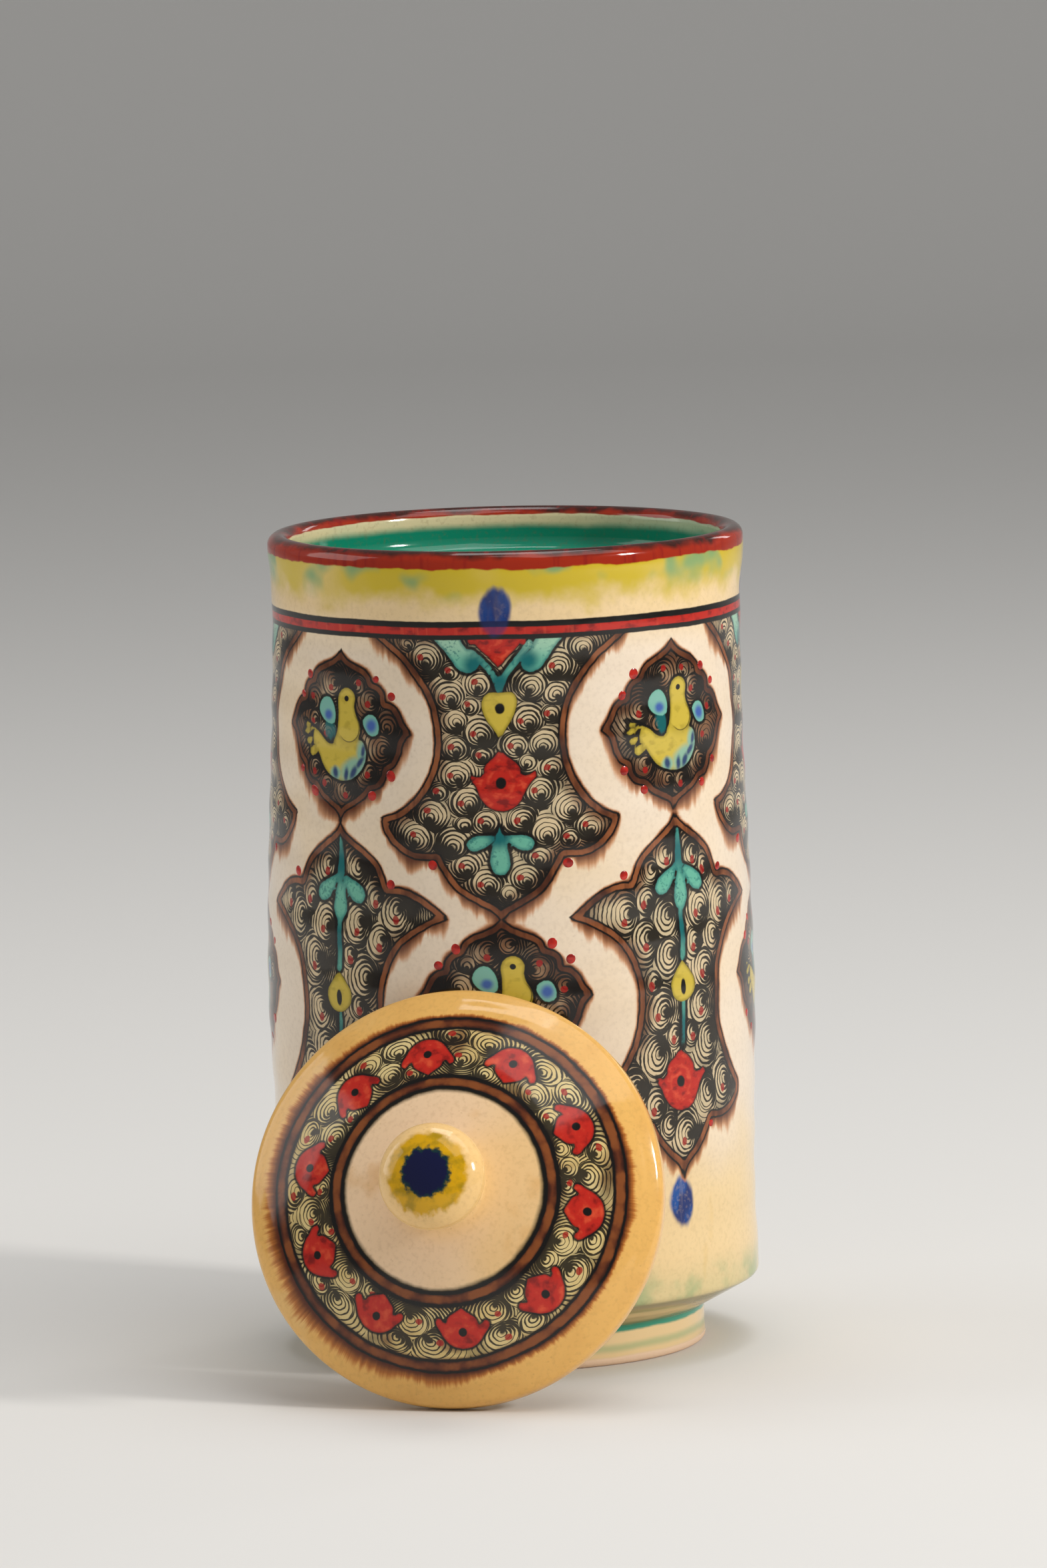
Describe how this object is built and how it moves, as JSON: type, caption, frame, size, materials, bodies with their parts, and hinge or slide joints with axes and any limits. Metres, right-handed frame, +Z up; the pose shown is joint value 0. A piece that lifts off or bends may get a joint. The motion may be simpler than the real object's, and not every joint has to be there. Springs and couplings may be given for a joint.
{
  "type": "lidded sweet jar",
  "caption": "Tall round ceramic jar on a turned foot ring, with an inner ledge for its domed lid, which has a knob and leans against the wall.",
  "frame": {"origin": "On the table, under the middle of the box round the jar and the leaning lid", "axes": "+Z up along the jar's axis; the lid leans on the jar's front, which faces -Y, a little to the left of it"},
  "size_m": [0.1254, 0.1736, 0.204],
  "materials": {
    "jar_glaze": "glossy painted glaze",
    "lid_glaze": "glossy painted glaze"
  },
  "bodies": {
    "jar": {"jar": "jar_glaze"},
    "lid": {"lid": "lid_glaze"}
  },
  "joints": [
    {"name": "lid_lift", "type": "slide", "parent": "jar", "child": "lid", "axis": [0, 0, 1], "range_m": [0, 0.21]}
  ]
}
